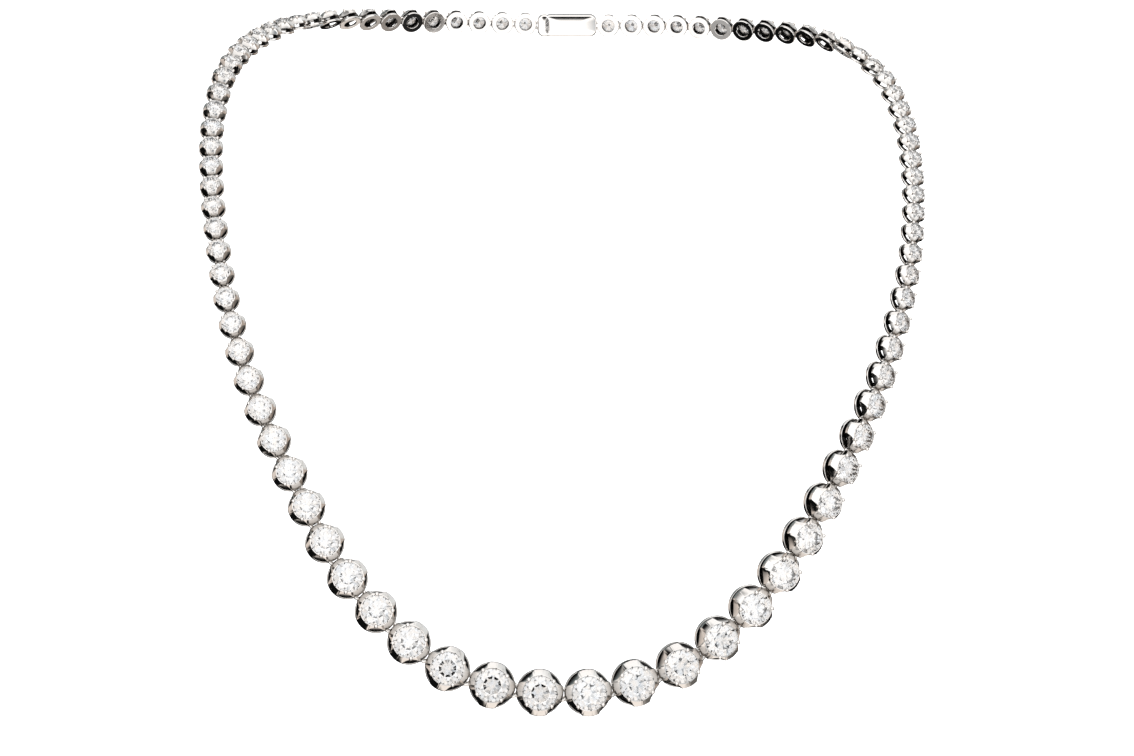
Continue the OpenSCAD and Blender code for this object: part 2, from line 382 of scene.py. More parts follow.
@dataclass
class Piece:
    """A finished piece: its shape as a mesh in metres, on the root body, for its CAD nodes."""

    name: str
    shape: Shape
    material: bpy.types.Material
    slot: str
    nodes: list[str]
    shading: Shading = Shading.SMOOTH

    def build(self) -> bpy.types.Object:
        """Makes the mesh object on the root body and hides the CAD nodes that it stands for.

        Returns:
            The object, at the origin, with its place in its mesh.
        """
        points = np.concatenate(self.shape.points) * MM
        sizes = np.concatenate([np.full(len(f), f.shape[1]) for f in self.shape.faces])
        loops = np.concatenate([f.reshape(-1) for f in self.shape.faces])
        mesh = bpy.data.meshes.new(self.name)
        mesh.vertices.add(len(points))
        mesh.vertices.foreach_set("co", points.astype(np.float32).ravel())
        mesh.loops.add(len(loops))
        mesh.loops.foreach_set("vertex_index", loops.astype(np.int32))
        mesh.polygons.add(len(sizes))
        starts = np.concatenate([[0], np.cumsum(sizes)[:-1]])
        mesh.polygons.foreach_set("loop_start", starts.astype(np.int32))
        mesh.update(calc_edges=True)
        smooth = np.full(len(sizes), self.shading is Shading.SMOOTH)
        mesh.polygons.foreach_set("use_smooth", smooth)
        if self.shading is Shading.SMOOTH:
            mesh.set_sharp_from_angle(angle=math.radians(self.shading.value))
            # Depth of painted shade in hollows, read by the metal's finish.
            depth = mesh.attributes.new("crevice_shade", "FLOAT", "POINT")
            crevice_shade = np.concatenate(self.shape.crevice_shade).astype(np.float32)
            depth.data.foreach_set("value", crevice_shade)
        mesh.materials.append(self.material)
        piece = bpy.data.objects.new(self.name, mesh)
        bpy.context.scene.collection.objects.link(piece)
        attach(piece, BODY)
        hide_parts(*self.nodes)
        triangles = int((sizes - 2).sum())
        log.info("%s: %d triangles, stands for %s", self.name, triangles, ", ".join(self.nodes))
        return piece


# ---------------------------------------------------------------- layout of the chain


@dataclass(frozen=True)
class Seat:
    """Place and three axes of one setting: x along the chain, z out of the stone's table."""

    place: np.ndarray
    x: np.ndarray
    y: np.ndarray
    z: np.ndarray

    def place_points(self, points: np.ndarray) -> np.ndarray:
        """Turns points of the setting's own frame to the necklace's frame."""
        return self.place + points @ np.stack([self.x, self.y, self.z])


@dataclass
class Chain:
    """Layout of the worn loop, in millimetres, as the CAD part states it.

    The route is a closed cubic through its rows. Settings are numbered from 0 at the largest
    one, up along the left strand, and below zero up along the right strand.
    """

    front_dia: float = 7.85
    back_dia: float = 4.15
    graded_count: int = 18
    setting_gap: float = 0.14
    centre_shift: float = 3.5
    clasp_len: float = 11.0
    clasp_t: float = 2.6
    nape_row: int = 13
    steps: int = 24
    rows: tuple[tuple[float, ...], ...] = (
        (0, -100.7, -102, 0.14, -0.97, 0.2),
        (-19.5, -100.4, -98, 0.14, -0.97, 0.2),
        (-35.5, -97.2, -84.4, 0.14, -0.96, 0.24),
        (-45.4, -92.4, -67.9, 0.08, -0.95, 0.28),
        (-52.7, -87, -52.9, 0, -0.93, 0.36),
        (-56.9, -81, -40.2, -0.08, -0.88, 0.45),
        (-59.2, -74.2, -29.7, -0.1, -0.84, 0.52),
        (-60.7, -66, -20.7, -0.02, -0.8, 0.56),
        (-61.2, -56, -11.8, 0.16, -0.74, 0.58),
        (-59.3, -44, -3.5, 0.26, -0.65, 0.65),
        (-53.5, -28, 1, 0.1, -0.25, 0.95),
        (-43, -13, 2, -0.3, 0.35, 0.85),
        (-24, -2, 1, -0.25, 0.95, 0.25),
        (0, 1.3, 0, 0, 1, 0),
        (24, -2.5, 0, 0.4, 0.9, 0.2),
        (45, -13, -1, 0.65, 0.4, 0.6),
        (55.5, -25, -6, 0.52, -0.4, 0.75),
        (59.5, -36, -13, 0.46, -0.55, 0.62),
        (60.5, -46, -20.5, 0.5, -0.58, 0.52),
        (60, -56.5, -29, 0.58, -0.62, 0.44),
        (58.1, -65.5, -38.8, 0.66, -0.64, 0.34),
        (53.8, -75, -51.4, 0.68, -0.68, 0.24),
        (47.8, -83, -64, 0.62, -0.76, 0.16),
        (38.8, -90.3, -78.9, 0.46, -0.87, 0.14),
        (29.1, -95, -90.3, 0.32, -0.93, 0.16),
        (17, -98.3, -98.6, 0.2, -0.96, 0.18),
    )

    def __post_init__(self) -> None:
        """Works out the curve, the length along it and where every setting sits."""
        b = np.array(self.rows, float)
        a, c, d = np.roll(b, 1, 0), np.roll(b, -1, 0), np.roll(b, -2, 0)
        t = (np.arange(self.steps) / self.steps)[None, :, None]
        a, b, c, d = (m[:, None, :] for m in (a, b, c, d))
        curve = 0.5 * (
            2 * b
            + (c - a) * t
            + (2 * a - 5 * b + 4 * c - d) * t**2
            + (3 * b - a - 3 * c + d) * t**3
        )
        flat = curve.reshape(-1, 6)
        self.curve = np.concatenate([flat, flat[:1]])
        pieces = np.linalg.norm(np.diff(self.curve[:, :3], axis=0), axis=1)
        self.run = np.concatenate([[0], np.cumsum(pieces)])
        self.length = self.run[-1]
        left_run = self.run[self.nape_row * self.steps] + self.centre_shift
        self.left_reach, self.left_spare = self.fill_side(left_run)
        self.right_reach, self.right_spare = self.fill_side(self.length - left_run)
        self.left_count = len(self.left_reach) - 1
        self.right_count = len(self.right_reach) - 1

    def dia(self, i: int) -> float:
        """Diameter of a setting, which falls from the front to the back on a cosine.

        Args:
            i: Number of the setting.

        Returns:
            Its diameter.
        """
        share = min(abs(i), self.graded_count) / self.graded_count
        fall = (1 + math.cos(math.pi * share)) / 2
        return self.back_dia + (self.front_dia - self.back_dia) * fall

    def size(self, i: int) -> float:
        """Size of setting i against the largest one."""
        return self.dia(i) / self.front_dia

    def fill_side(self, side_run: float) -> tuple[list[float], float]:
        """Fills one side with settings, from the largest one to the clasp.

        Args:
            side_run: Length of the side, from the largest setting to the clasp's middle.

        Returns:
            Each setting's distance from the largest one, and what each gap is widened by.
        """
        reach, i, found = 0.0, 0, []
        while reach + self.dia(i) / 2 + self.setting_gap + self.clasp_len / 2 <= side_run:
            found.append(reach)
            reach += (self.dia(i) + self.dia(i + 1)) / 2 + self.setting_gap
            i += 1
        left_over = side_run - found[-1] - self.dia(i - 1) / 2
        left_over -= self.setting_gap + self.clasp_len / 2
        return found, left_over / i

    def station(self, i: int) -> float:
        """Distance of a setting along the route.

        Args:
            i: Number of the setting.

        Returns:
            Distance from the first row, below zero up along the right strand.
        """
        if i >= 0:
            return self.left_reach[i] + i * self.left_spare - self.centre_shift
        return i * self.right_spare - self.right_reach[-i] - self.centre_shift

    def along(self, u: float) -> np.ndarray:
        """Place and facing direction at a distance along the route, six numbers."""
        wrapped = u % self.length
        return np.array([np.interp(wrapped, self.run, column) for column in self.curve.T])

    def seat(self, i: int) -> Seat:
        """Seat of a setting: x is the chord over a third of its diameter on either side.

        Args:
            i: Number of the setting.

        Returns:
            Its seat on the route.
        """
        u, reach = self.station(i), self.dia(i) / 3
        row = self.along(u)
        x = unit(self.along(u + reach)[:3] - self.along(u - reach)[:3])
        z = unit(row[3:] - (row[3:] @ x) * x)
        return Seat(row[:3], x, np.cross(z, x), z)

    def clasp_seat(self) -> Seat:
        """Seat of the clasp at the nape.

        Returns:
            The seat, with x along +X and z out of the back.
        """
        place = np.array([0, self.clasp_t / 2, 0])
        axes = np.array([[1.0, 0, 0], [0, 0, -1.0], [0, 1.0, 0]])
        return Seat(place, axes[0], axes[1], axes[2])


# ---------------------------------------------------------------- stone


@dataclass(frozen=True)
class Brilliant:
    """Round brilliant of 57 facets with a scalloped girdle, sizes of the largest one."""

    dia: float = 5.55
    table_dia: float = 3.2
    crown_h: float = 0.86
    girdle_h: float = 0.16
    pavilion_h: float = 2.4
    star_reach: float = 0.5
    lower_reach: float = 0.77
    arc_steps: int = 4

    @property
    def radius(self) -> float:
        """Radius of the girdle."""
        return self.dia / 2

    @property
    def girdle_z(self) -> float:
        """Height of the girdle's top."""
        return self.pavilion_h + self.girdle_h

    @property
    def table_z(self) -> float:
        """Height of the table."""
        return self.girdle_z + self.crown_h

    @property
    def crown_slope(self) -> float:
        """Fall of the crown's main facets over a millimetre outward."""
        return self.crown_h / (self.radius - self.table_dia / 2)

    @property
    def pavilion_slope(self) -> float:
        """Rise of the pavilion's main facets over a millimetre outward."""
        return self.pavilion_h / self.radius

    def ring(self, count: int, turn: float, radius: float, z: float) -> np.ndarray:
        """Points evenly round the axis, the first at the turn in degrees."""
        a = np.radians(turn) + whole_turn(count)
        return np.stack([radius * np.cos(a), radius * np.sin(a), np.full(count, z)], axis=-1)

    def girdle_arc(self, inner: np.ndarray, z: float) -> np.ndarray:
        """Edge of the girdle, where the half facets' planes cut the stone's round side.

        The plane of a half facet holds its inner point and the two girdle corners, so on the
        circle between them its height is the corners' height plus the plane's slope times what
        the circle stands out past the straight line from corner to corner.

        Args:
            inner: The eight inner points, at the half steps.
            z: Height of the sixteen corners.

        Returns:
            The points round the edge.
        """
        steps = self.arc_steps
        a = whole_turn(16 * steps)
        corner = np.arange(16 * steps) // steps
        middle = (corner + 0.5) * np.pi / 8
        flat = self.radius * math.cos(math.pi / 16)
        star = inner[corner // 2]
        inner_out = star[:, 0] * np.cos(middle) + star[:, 1] * np.sin(middle)
        slope = (z - star[:, 2]) / (flat - inner_out)
        height = z + slope * (self.radius * np.cos(a - middle) - flat)
        return np.stack([self.radius * np.cos(a), self.radius * np.sin(a), height], axis=-1)

    def shape(self, turn: float) -> Shape:
        """Makes the stone.

        Args:
            turn: How far the cut is turned about the stone's axis, in radians.

        Returns:
            The closed stone in the setting's frame, with its point at the origin.
        """
        flat = self.table_dia / 2 * math.cos(math.pi / 8)
        star_r = flat + self.star_reach * (self.radius - flat)
        fall = (star_r * math.cos(math.pi / 8) - self.table_dia / 2) * self.crown_slope
        lower_r = (1 - self.lower_reach) * self.radius
        lower_z = lower_r * math.cos(math.pi / 8) * self.pavilion_slope
        table = self.ring(8, 0, self.table_dia / 2, self.table_z)
        star = self.ring(8, 22.5, star_r, self.table_z - fall)
        lower = self.ring(8, 22.5, lower_r, lower_z)
        upper_edge = self.girdle_arc(star, self.girdle_z)
        under_edge = self.girdle_arc(lower, self.pavilion_h)
        # In order: 8 points of the table, 8 of the stars, n of each edge, 8 lower ones, the tip.
        points = np.concatenate([table, star, upper_edge, under_edge, lower, np.zeros((1, 3))])
        n = len(upper_edge)
        k = np.arange(8)
        table_at, star_at, lower_at = k, 8 + k, 16 + 2 * n + k
        next_table, last_star = (k + 1) % 8, 8 + (k - 1) % 8
        tip = np.full(8, 24 + 2 * n)
        kite_foot = 16 + 2 * self.arc_steps * k
        main_foot = kite_foot + n
        half = np.arange(16)
        arc = (half[:, None] * self.arc_steps + np.arange(self.arc_steps + 1)) % n
        j = np.arange(n)
        j_next = (j + 1) % n
        faces = [
            np.arange(8)[None, :],
            np.stack([table_at, star_at, next_table], -1),
            np.stack([table_at, last_star, kite_foot, star_at], -1),
            np.concatenate([(8 + half // 2)[:, None], 16 + arc], -1),
            np.stack([16 + j, 16 + n + j, 16 + n + j_next, 16 + j_next], -1),
            np.concatenate([(16 + 2 * n + half // 2)[:, None], 16 + n + arc[:, ::-1]], -1),
            np.stack([main_foot, 16 + 2 * n + (k - 1) % 8, tip, lower_at], -1),
        ]
        cos, sin = math.cos(turn), math.sin(turn)
        spin = np.array([[cos, sin, 0], [-sin, cos, 0], [0, 0, 1]])
        made = Shape()
        made.add(points @ spin, faces)
        return made

    def clear_radius(self, z: np.ndarray, gap: float) -> np.ndarray:
        """Least radius at each height that leaves the gap to the stone.

        Args:
            z: Heights.
            gap: Gap to keep, square to the stone's surface.

        Returns:
            Radius of the stone's half section, grown by the gap, at each height.
        """
        pavilion = math.atan(self.pavilion_slope)
        crown = math.atan(self.crown_slope)
        edge = self.radius + gap
        lift = gap / math.cos(crown)
        foot = -gap / math.cos(pavilion)
        heights = [
            foot,
            foot + edge * self.pavilion_slope,
            self.girdle_z + lift - gap * math.tan(crown),
            self.table_z + lift,
            self.table_z + lift + 1e-6,
        ]
        return np.interp(z, heights, [0, edge, edge, self.table_dia / 2, 0])


# ---------------------------------------------------------------- setting


@dataclass(frozen=True)
class Mesh:
    """How finely a setting is drawn."""

    eighth: tuple[float, ...]
    round_steps: int
    ring_turns: int
    claw_turns: int
    claw_rows: int


class Detail(Enum):
    """Fine settings are pieces of their own; plain ones are drawn many to a piece."""

    FINE = Mesh(
        (0, 1.3, 2.1, 2.8, 5.5, 9.5, 13.5, 17.5, 20, 21.5, 22.6, 23.8, 26, 29, 32.5, 36.5, 41, 45),
        3,
        72,
        18,
        14,
    )
    PLAIN = Mesh((0, 1.4, 2.6, 7, 13, 19, 22, 24.5, 30, 37, 45), 1, 36, 10, 6)


@dataclass(frozen=True)
class Setting:
    """Claw setting of the largest size: base ring, collar, four plates, claws and end posts.

    Base ring and crown of plates are closed profiles carried round the axis. The corners of the
    crown's profile move with the angle: a round scoop at each diagonal parts it into four sloping
    plates, and each plate is cut into a fan of narrow facets with a short slot at the stone.
    Lists of rounds and of depths of painted shade go with the corners of those profiles, in their
    order.
    """

    rim_dia: float = 7.95
    base_inset: float = 0.1
    base_draft: float = 0.09
    base_land: float = 0.32
    base_h: float = 0.8
    base_belly: float = 0.3
    base_edge: float = 0.08
    base_roll: float = 0.06
    base_crest: float = 0.02
    base_sink: float = 0.14
    base_rounds: tuple[float, ...] = (0.1, 0.2, 0.06, 0.05, 0.08, 0.04, 0.02, 0.1)
    base_shade: tuple[float, ...] = (0, 0, 0.2, 0, 0.1, 0.85, 0.9, 1)
    window_h: float = 1.4
    window_room: float = 0.15
    window_blend: float = 1.5
    bore_blend: float = 3.0
    collar_wall: float = 0.4
    collar_inset: float = 0.2
    collar_lap: float = 0.02
    collar_into_crown: float = 0.2
    collar_into_base: float = 0.3
    collar_steps: int = 14
    groove_h: float = 1.3
    rim_h: float = 0.7
    rim_draft: float = 0.08
    plate_land: float = 0.2
    plate_lip: float = 0.012
    plate_least: float = 0.1
    crown_rounds: tuple[float, ...] = (0.05, 0.10, 0.06, 0.10, 0.07, 0.05, 0.03, 0.03)
    rim_shade: float = 0.2
    scoop_shade: float = 0.3
    end_shade: tuple[float, float] = (0.34, 0.16)
    seat_gap: float = 0.02
    scoop_half: float = 23.5
    scoop_wall: float = 0.38
    scoop_blend: float = 0.07
    scoop_flare: float = 0.42
    slot_half: float = 2.1
    slot_blend: float = 0.45
    slot_depth: float = 0.42
    fan_step: float = 4.0
    fan_depth: float = 0.07
    fan_inner: float = 0.3
    claw_dia: float = 0.5
    claw_foot_dia: float = 0.3
    claw_len: float = 2.0
    claw_toe: float = 0.1
    claw_offset: float = 0.14
    claw_relief: float = 0.05
    claw_unshaded: float = 0.25
    claw_fade: float = 0.7
    claw_shade: float = 0.8
    bead_dia: float = 0.74
    bead_rise: float = 0.3
    bead_growth: float = -0.6
    bead_pole: float = 0.12
    post_dia: float = 0.62
    post_inset: float = 0.35
    post_reach: float = 0.6
    post_levels: tuple[float, ...] = (-0.95, -0.25, 0, 0.25, 0.95)
    post_waist: tuple[float, ...] = (1, 0.95, 0.93, 0.95, 1)
    wire_dia: float = 0.74
    solder_growth: float = 0.16
    solder_angle: float = 0.45
    link_gap: float = 0.18
    widest_gap: float = 0.21
    stone: Brilliant = Brilliant()

    @property
    def rim_r(self) -> float:
        """Radius of the rim."""
        return self.rim_dia / 2

    @property
    def base_r(self) -> float:
        """Outer radius of the base ring."""
        return self.rim_r - self.base_inset

    @property
    def post_r(self) -> float:
        """Distance of an end post from the axis."""
        return self.base_r - self.post_inset

    @property
    def collar_r(self) -> float:
        """Outer radius of the collar."""
        return self.stone.radius - self.collar_inset

    @property
    def bore_r(self) -> float:
        """Radius of the open hole under the stone."""
        return self.collar_r - self.collar_wall

    @property
    def window_z(self) -> float:
        """Half height of an end opening."""
        return self.window_h / 2

    def window_half(self, size: float) -> float:
        """Half width of an end opening for a setting of this size, in the largest one's scale."""
        ring = self.rim_r - self.post_r + (self.post_dia + 3 * self.wire_dia) / 4
        return ring + ((self.link_gap + self.widest_gap) / 2 + self.window_room) / size

    def column_angles(self, mesh: Mesh) -> np.ndarray:
        """Angles of the crown's columns: the eighth's angles, mirrored round the whole turn.

        Args:
            mesh: How finely the setting is drawn.

        Returns:
            The angles, in radians.
        """
        eighth = np.array(mesh.eighth)
        quarter = np.concatenate([eighth, 90 - eighth[-2:0:-1]])
        return np.radians(np.concatenate([quarter + 90 * k for k in range(4)]))

    def scoop_radius(self, off_diagonal: np.ndarray, gap: float) -> np.ndarray:
        """Outer radius of the crown at angles from the nearest diagonal.

        A circle outside the rim touches the wall beside the stone and crosses the rim at the
        scoop's half angle. The radius is the smooth minimum of that circle and the rim.

        Args:
            off_diagonal: Angle from the nearest diagonal, in radians.
            gap: Gap round the stone.

        Returns:
            Radius for each angle.
        """
        near = self.stone.radius + gap + self.scoop_wall
        reach = self.rim_r * math.cos(math.radians(self.scoop_half)) - near
        centre = (self.rim_r**2 - near**2) / (2 * reach)
        hidden = (centre * np.sin(off_diagonal)) ** 2
        depth = np.sqrt(np.maximum((centre - near) ** 2 - hidden, 0))
        scoop = centre * np.cos(off_diagonal) - depth
        share = np.clip(0.5 + 0.5 * (self.rim_r - scoop) / self.scoop_blend, 0, 1)
        joined = self.rim_r * (1 - share) + scoop * share
        return joined - self.scoop_blend * share * (1 - share)

    def crown(self, gap: float, half: float, mesh: Mesh) -> tuple[np.ndarray, np.ndarray]:
        """Makes the grid of the crown, the part with the seat and the four plates.

        The outside follows the scoops' radius, and the plates slope from it up to the land round
        the stone. A triangle wave of the angle draws them in, which cuts the fan of facets, and
        the land's inner edge sinks into a slot at each plate's middle. Over an end opening the
        underside is higher than beside it. Painted shade darkens the undersides and slots, the
        crown's lower outer edge, most in the scoops, and the plates over the end openings, and it
        also dulls their polish.

        Args:
            gap: Gap round the stone, in the largest setting's scale.
            half: Half width of an end opening.
            mesh: How finely it is drawn.

        Returns:
            Points as (columns, profile points, 3), and their depths of painted shade.
        """
        angle = self.column_angles(mesh)
        off_diagonal = np.degrees(angle) % 90 - 45
        off_plate = 45 - np.abs(off_diagonal)
        off_end = np.degrees(np.arcsin(np.abs(np.sin(angle))))
        outer = self.scoop_radius(np.radians(off_diagonal), gap)
        seat_r = self.stone.radius + gap
        slope = self.stone.pavilion_slope
        drop = gap / math.cos(math.atan(slope))
        top = self.stone.girdle_z
        foot = self.groove_h - self.window_z
        rim_z = foot + self.rim_h
        land_r = self.stone.radius + self.plate_land
        plate_r = np.minimum(land_r, outer - self.plate_lip)
        shoulder = top - (outer - plate_r) * (top - rim_z) / (self.rim_r - land_r)
        on_plate = np.clip((outer - plate_r) / (self.rim_r - land_r), 0, 1)
        wave = np.abs((off_plate / self.fan_step + 0.5) % 2 - 1)
        fan = self.fan_depth * wave * on_plate
        slot_edge = self.slot_blend * self.slot_half
        slot = np.clip((self.slot_half - off_plate) / slot_edge, 0, 1)
        notch = 1 - on_plate
        low_r = outer + self.scoop_flare * (self.rim_r - outer)
        open_rim = math.degrees(math.asin(min(half / self.rim_r, 1)))
        open_bore = math.degrees(math.asin(min(half / self.bore_r, 1)))
        over_rim = np.clip((open_rim + self.window_blend - off_end) / self.window_blend, 0, 1)
        over_bore = np.clip((open_bore + self.bore_blend - off_end) / self.bore_blend, 0, 1)
        under_rim = foot + (self.window_z - foot) * over_rim
        under_bore = foot + (self.window_z - foot) * over_bore
        shoulder = np.maximum(shoulder, under_rim + self.plate_least)
        ones = np.ones_like(angle)
        corners = [
            (self.bore_r * ones, (self.bore_r * slope - drop) * ones),
            (self.bore_r * ones, under_bore),
            (self.collar_r * ones, under_bore),
            (low_r, under_rim),
            (outer - fan - self.rim_draft, shoulder),
            (plate_r - self.fan_inner * fan, top * ones),
            (seat_r * ones, top - self.slot_depth * slot),
            (seat_r * ones, (seat_r * slope - drop) * ones),
        ]
        outline = np.stack([np.stack(c, axis=-1) for c in corners], axis=1)
        profile = rounded(outline, np.array(self.crown_rounds), mesh.round_steps)[:, ::-1]
        # Painted shade: undersides, lower outer edge, scoops, plates over the end openings, slots.
        depth = np.zeros((len(angle), len(corners)))
        depth[:, 1:3] = 1.0
        depth[:, 3] = self.rim_shade + self.scoop_shade * notch
        depth[:, 4:6] = over_rim[:, None] * self.end_shade
        depth[:, 6] = slot
        crevice_shade = np.repeat(depth, mesh.round_steps + 1, axis=1)[:, ::-1]
        return turned(angle, profile[..., 0], profile[..., 1]), crevice_shade

    def base_ring(self, mesh: Mesh) -> tuple[np.ndarray, np.ndarray]:
        """Makes the grid of the base ring: a rolled bright edge round a sunken ledge with painted
        shade.

        Args:
            mesh: How finely it is drawn.

        Returns:
            Points as (angles, profile points, 3), and their crevice depths.
        """
        top = -self.window_z
        foot, ledge = top - self.base_h, self.base_r - self.base_land
        corners = np.array(
            [
                [self.bore_r, foot],
                [self.base_r - self.base_edge, foot],
                [self.base_r, foot + self.base_belly * self.base_h],
                [self.base_r - self.base_draft, top - self.base_roll],
                [self.base_r - self.base_land / 2, top + self.base_crest],
                [ledge, top - self.base_crest],
                [ledge - self.base_crest, top - self.base_sink],
                [self.bore_r, top - self.base_sink],
            ]
        )
        profile = rounded(corners, np.array(self.base_rounds), mesh.round_steps)[::-1]
        # Painted shade: darkest on the sunken ledge and round the bore's top, faint on the belly.
        depth = np.repeat(np.array(self.base_shade), mesh.round_steps + 1)[::-1]
        points = turned(whole_turn(mesh.ring_turns), profile[:, 0], profile[:, 1])
        return points, np.broadcast_to(depth, points.shape[:2])

    def collar(self, half: float, side: int) -> np.ndarray:
        """Rings of points of the collar's wall on one side, between the two end openings.

        Args:
            half: Half width of an end opening.
            side: 1 for the wall at +Y, -1 for the wall at -Y.

        Returns:
            Points as (steps along the arc, four corners, 3).
        """
        start = math.asin(half / self.bore_r) + self.collar_lap
        reach = math.pi / 2 - start
        angle = side * math.pi / 2 + np.linspace(-reach, reach, self.collar_steps)
        inner, outer = self.bore_r + self.collar_lap, self.collar_r
        high = self.groove_h - self.window_z + self.collar_into_crown
        low = -self.window_z - self.collar_into_base
        r, z = np.array([inner, outer, outer, inner]), np.array([high, high, low, low])
        return turned(angle, r, z)

    def claw(self, size: float, angle: float, mesh: Mesh) -> tuple[np.ndarray, np.ndarray]:
        """Rings of points of one claw.

        The claw is turned about its own axis: a thin round foot in the scoop's wall widens on a
        straight line and swells into a bead. Smaller settings have relatively larger beads. Every
        point that would come nearer to the stone than the gap is moved straight out from the
        setting's axis, which presses a seat for the girdle and lays the bead on the crown.

        Args:
            size: Size of the setting against the largest one.
            angle: Angle of the claw round the setting, in radians.
            mesh: How finely it is drawn.

        Returns:
            Points as (rings, points of a ring, 3), and their depths of painted shade.
        """
        growth = size**self.bead_growth
        foot, wire = self.claw_foot_dia / 2, self.claw_dia / 2 * growth
        bead = self.bead_dia / 2 * growth
        bead_z = self.stone.girdle_z + self.bead_rise
        neck = math.acos(wire / bead)
        rise = np.linspace(-neck, math.pi / 2 - self.bead_pole, mesh.claw_rows)
        up = np.linspace(0, 1, mesh.claw_rows // 2 + 1)[:-1]
        low_z, neck_z = bead_z - self.claw_len, bead_z - bead * math.sin(neck)
        leg_z, leg_r = low_z + (neck_z - low_z) * up, foot + (wire - foot) * up
        z = np.concatenate([[low_z - self.claw_toe], leg_z, bead_z + bead * np.sin(rise)])
        r = np.concatenate([[foot / 2], leg_r, bead * np.cos(rise)])
        turn = whole_turn(mesh.claw_turns)
        out = self.stone.radius + self.claw_offset + r[:, None] * np.cos(turn)
        side = r[:, None] * np.sin(turn)
        height = np.broadcast_to(z[:, None], out.shape)
        reach = np.hypot(out, side)
        clear = self.stone.clear_radius(height, self.seat_gap / size + self.claw_relief)
        push = np.maximum(clear / reach, 1)
        out, side = out * push, side * push
        cos, sin = math.cos(angle), math.sin(angle)
        points = np.stack([out * cos - side * sin, out * sin + side * cos, height], axis=-1)
        # Painted shade: darker from a little below the bead's neck down to the foot.
        dark = np.clip((neck_z - self.claw_unshaded - height) / (neck_z - low_z), 0, 1)
        return points, self.claw_shade * dark**self.claw_fade

    def post(self, x: float, mesh: Mesh) -> np.ndarray:
        """Rings of points of an end post: a round wire, slightly waisted in the opening.

        Args:
            x: Place of the post along x.
            mesh: How finely it is drawn.

        Returns:
            Points as (heights, points of a ring, 3).
        """
        z = np.array(self.post_levels) * self.window_h * self.post_reach
        r = np.array(self.post_waist) * self.post_dia / 2
        return upright_rod(x, r, z, mesh.claw_turns)

    def shape(self, size: float, detail: Detail) -> Shape:
        """Makes a whole setting.

        Args:
            size: Size of the setting against the largest one; the gap round a stone stays.
            detail: How finely it is drawn.

        Returns:
            The setting in its own frame, in the largest one's scale.
        """
        gap, half, mesh = self.seat_gap / size, self.window_half(size), detail.value
        made = Shape()
        made.add_loop(*self.crown(gap, half, mesh))
        made.add_loop(*self.base_ring(mesh))
        for side in (1, -1):
            wall = self.collar(half, side)
            # Painted shade over the whole collar wall.
            made.add_rod(wall, np.ones(wall.shape[:2]))
        for quarter in range(4):
            made.add_rod(*self.claw(size, math.pi / 4 + quarter * math.pi / 2, mesh))
        for x in (-self.post_r, self.post_r):
            made.add_rod(self.post(x, mesh))
        return made

    def link_ring(
        self, from_place: np.ndarray, seat: Seat, post_x: float, size: float, detail: Detail
    ) -> np.ndarray:
        """Rings of points of a soldered ring, in the plane of the next piece.

        It lies round that piece's post with the link's gap and ends at the post that it is
        soldered to, where solder thickens its wire on a bell curve.

        Args:
            from_place: Middle of the post that it is soldered to.
            seat: Seat of the next piece.
            post_x: Place of that piece's post along its x axis.
            size: Size of the next piece.
            detail: How finely it is drawn.

        Returns:
            Points as (steps round the ring, points of the wire, 3).
        """
        mesh = detail.value
        inner_x = post_x + (self.post_dia + self.wire_dia) / 2 * size + self.link_gap
        outer_x = (from_place - seat.place) @ seat.x
        middle, radius = (inner_x + outer_x) / 2, (inner_x - outer_x) / 2
        a, b = whole_turn(mesh.ring_turns), -whole_turn(mesh.claw_turns)
        off_solder = np.angle(-np.exp(1j * a))
        solder = self.solder_growth * np.exp(-((off_solder / self.solder_angle) ** 2))
        wire = self.wire_dia / 2 * size * (1 + solder)
        r = radius + wire[:, None] * np.cos(b)
        points = [middle + r * np.cos(a)[:, None], r * np.sin(a)[:, None]]
        points.append(wire[:, None] * np.sin(b) + 0 * r)
        return seat.place_points(np.stack(points, axis=-1))


# ---------------------------------------------------------------- clasp


